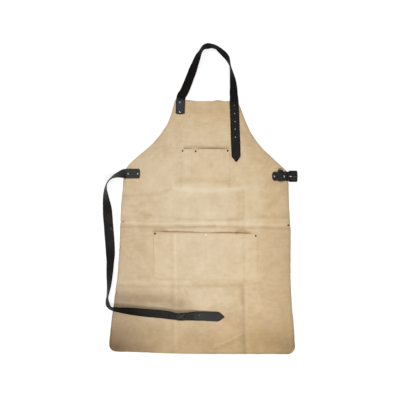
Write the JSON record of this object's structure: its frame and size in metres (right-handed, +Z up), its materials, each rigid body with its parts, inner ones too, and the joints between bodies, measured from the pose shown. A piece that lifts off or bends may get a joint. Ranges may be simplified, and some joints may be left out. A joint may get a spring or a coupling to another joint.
{
  "type": "leather blacksmith apron",
  "caption": "Bib apron of pale split leather laid flat, with chest and lower pockets, black riveted neck and waist straps and an open frame buckle at the waist.",
  "frame": {"origin": "centre of the bounding box, on the surface that the apron lies on", "axes": "+X across the apron towards its buckle, +Y from the hem towards the bib and neck strap, +Z up out of the face"},
  "size_m": [0.69, 1.1042, 0.034],
  "materials": {
    "suede": "matt split leather",
    "pocket_suede": "matt split leather",
    "strap_leather": "waxed black strap leather",
    "buckle_leather": "waxed black strap leather",
    "black_steel": "black coated steel",
    "bright_steel": "worn nickel",
    "rivet_metal": "dull nickel",
    "dark_rivet_metal": "darkened nickel"
  },
  "bodies": {
    "apron": {"apron_body": "suede", "chest_pocket": "pocket_suede", "lower_pocket": "pocket_suede", "neck_strap": "strap_leather", "waist_strap": "strap_leather", "buckle_strap": "buckle_leather", "buckle_guard": "buckle_leather", "keeper_loop": "buckle_leather", "neck_rivet_lower": "rivet_metal", "neck_rivet_upper": "rivet_metal", "waist_rivet_inner": "rivet_metal", "waist_rivet_outer": "rivet_metal", "buckle_rivet_inner": "rivet_metal", "buckle_rivet_outer": "rivet_metal", "chest_pocket_rivet_left": "dark_rivet_metal", "chest_pocket_rivet_middle": "dark_rivet_metal", "chest_pocket_rivet_right": "dark_rivet_metal", "lower_pocket_rivet_left": "dark_rivet_metal", "lower_pocket_rivet_middle": "rivet_metal", "lower_pocket_rivet_right": "dark_rivet_metal", "edge_rivet": "dark_rivet_metal"},
    "frame": {"buckle_frame": "black_steel"},
    "tongue": {"buckle_tongue": "bright_steel"}
  },
  "joints": [
    {"name": "frame_swing", "type": "hinge", "parent": "apron", "child": "frame", "pos_m": [0.31349, 0.07895, 0.00911], "axis": [0, -1, 0], "range_deg": [0, 90]},
    {"name": "tongue_swing", "type": "hinge", "parent": "frame", "child": "tongue", "pos_m": [0.31349, 0.07895, 0.00911], "axis": [0, -1, 0], "range_deg": [0, 60]}
  ]
}
